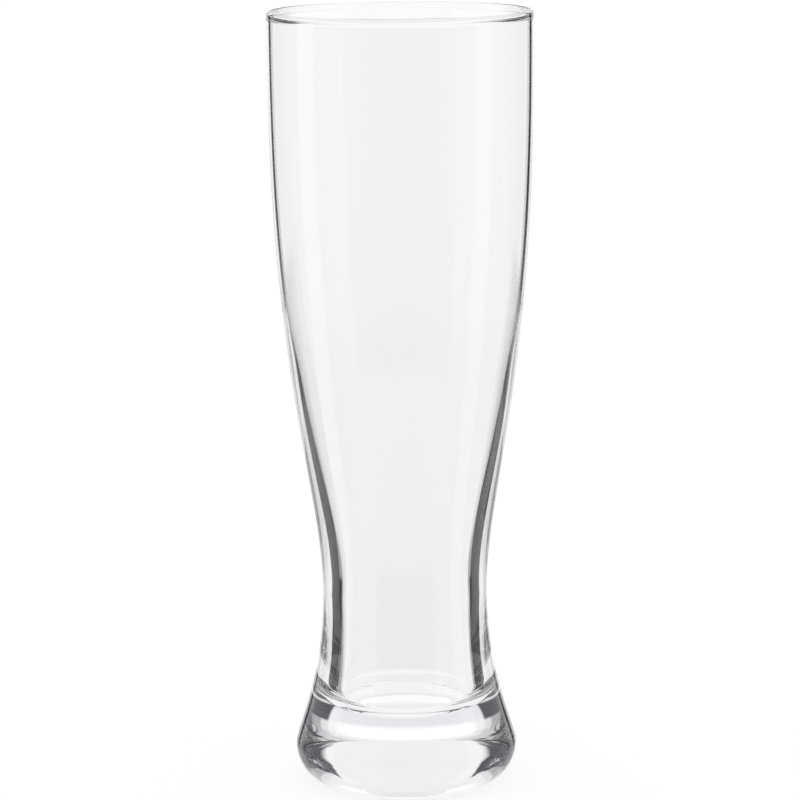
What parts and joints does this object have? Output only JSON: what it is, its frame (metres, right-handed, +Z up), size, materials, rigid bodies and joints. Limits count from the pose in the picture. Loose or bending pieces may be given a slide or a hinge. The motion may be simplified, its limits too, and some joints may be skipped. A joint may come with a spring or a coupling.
{
  "type": "pilsner glass",
  "caption": "Tall clear beer glass with a wide thin mouth, a narrow waist and a thick solid flared foot to stand on.",
  "frame": {"origin": "on the table plane, under the middle of the foot", "axes": "+Z up the axis of the glass, towards the rim; the glass is round, so X and Y are any two level directions"},
  "size_m": [0.082, 0.082, 0.2425],
  "materials": {
    "bowl_glass": "clear colourless glass, blown and fire-polished",
    "foot_glass": "clear colourless glass, pressed and fire-polished"
  },
  "bodies": {
    "root": {"bowl": "bowl_glass", "foot": "foot_glass"}
  },
  "joints": []
}
